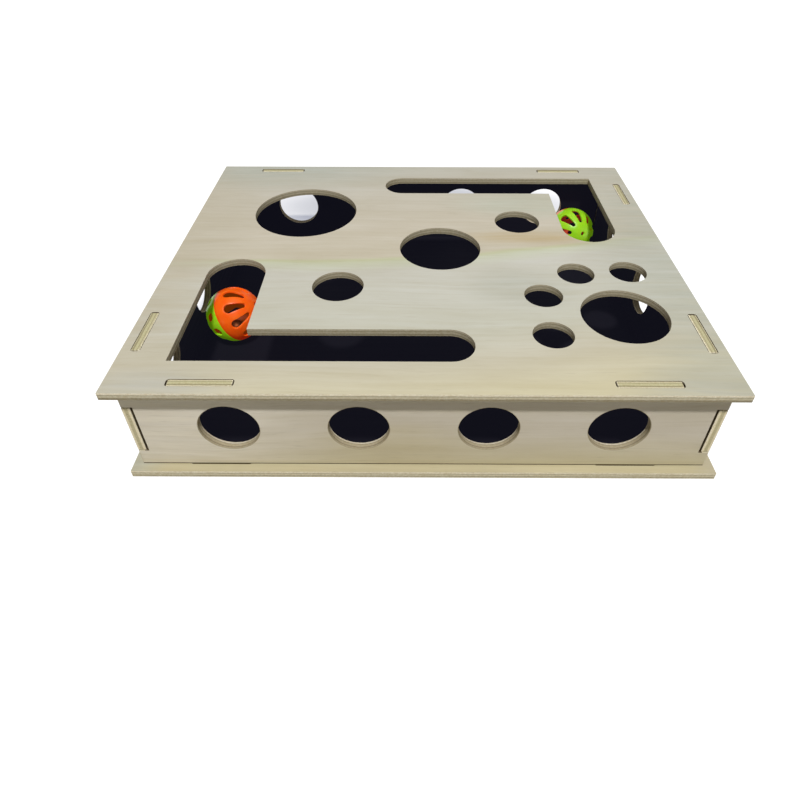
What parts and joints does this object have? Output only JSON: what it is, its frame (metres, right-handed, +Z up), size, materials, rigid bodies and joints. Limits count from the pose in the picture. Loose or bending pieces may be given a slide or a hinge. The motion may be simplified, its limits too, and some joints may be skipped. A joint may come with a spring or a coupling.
{
  "type": "cat maze toy box",
  "caption": "Flat plywood box with round holes and L-shaped slots in its lid and walls, holding slotted bell balls that a cat bats about.",
  "frame": {"origin": "middle of the underside of the bottom panel, on the surface that the box stands on", "axes": "+X to the right along the long side, +Y to the back, +Z up"},
  "size_m": [0.35, 0.29, 0.07],
  "materials": {
    "plywood": "bare sanded plywood, stained black inside",
    "orange_plastic": "glossy moulded",
    "green_plastic": "glossy moulded",
    "bell_brass": "bright plated",
    "pellet_steel": "bright"
  },
  "bodies": {
    "box": {"bottom_panel": "plywood", "front_wall": "plywood", "back_wall": "plywood", "left_wall": "plywood", "right_wall": "plywood"},
    "top": {"top_panel": "plywood"},
    "front_bell": {"front_bell_crown": "bell_brass", "front_bell_cup": "bell_brass"},
    "front_ball": {"front_ball_orange_half": "orange_plastic", "front_ball_green_half": "green_plastic"},
    "front_pellet": {"front_bell_pellet": "pellet_steel"},
    "back_bell": {"back_bell_crown": "bell_brass", "back_bell_cup": "bell_brass"},
    "back_ball": {"back_ball_orange_half": "orange_plastic", "back_ball_green_half": "green_plastic"},
    "back_pellet": {"back_bell_pellet": "pellet_steel"}
  },
  "joints": [
    {"name": "top_lifts_off", "type": "slide", "parent": "box", "child": "top", "axis": [0, 0, 1], "range_m": [0, 0.06]},
    {"name": "front_ball_travel", "type": "slide", "parent": "box", "child": "front_bell", "axis": [0, 1, 0], "range_m": [-0.0974, 0.1296]},
    {"name": "front_ball_roll", "type": "hinge", "parent": "front_bell", "child": "front_ball", "pos_m": [-0.1388, -0.0161, 0.0253], "axis": [-1, 0, 0], "range_deg": [-281, 373]},
    {"name": "front_pellet_rattle", "type": "hinge", "parent": "front_bell", "child": "front_pellet", "pos_m": [-0.1388, -0.0161, 0.0129], "axis": [1, 0, 0], "range_deg": [-60, 60]},
    {"name": "back_ball_travel", "type": "slide", "parent": "box", "child": "back_bell", "axis": [1, 0, 0], "range_m": [-0.2331, 0.0082]},
    {"name": "back_ball_roll", "type": "hinge", "parent": "back_bell", "child": "back_ball", "pos_m": [0.1353, 0.1101, 0.0253], "axis": [0, 1, 0], "range_deg": [-669, 25]},
    {"name": "back_pellet_rattle", "type": "hinge", "parent": "back_bell", "child": "back_pellet", "pos_m": [0.1353, 0.1101, 0.0129], "axis": [0, 1, 0], "range_deg": [-60, 60]}
  ],
  "couplings": [
    {"joint": "front_ball_roll", "follows": "front_ball_travel", "rad_per_m": 50},
    {"joint": "back_ball_roll", "follows": "back_ball_travel", "rad_per_m": 50}
  ]
}
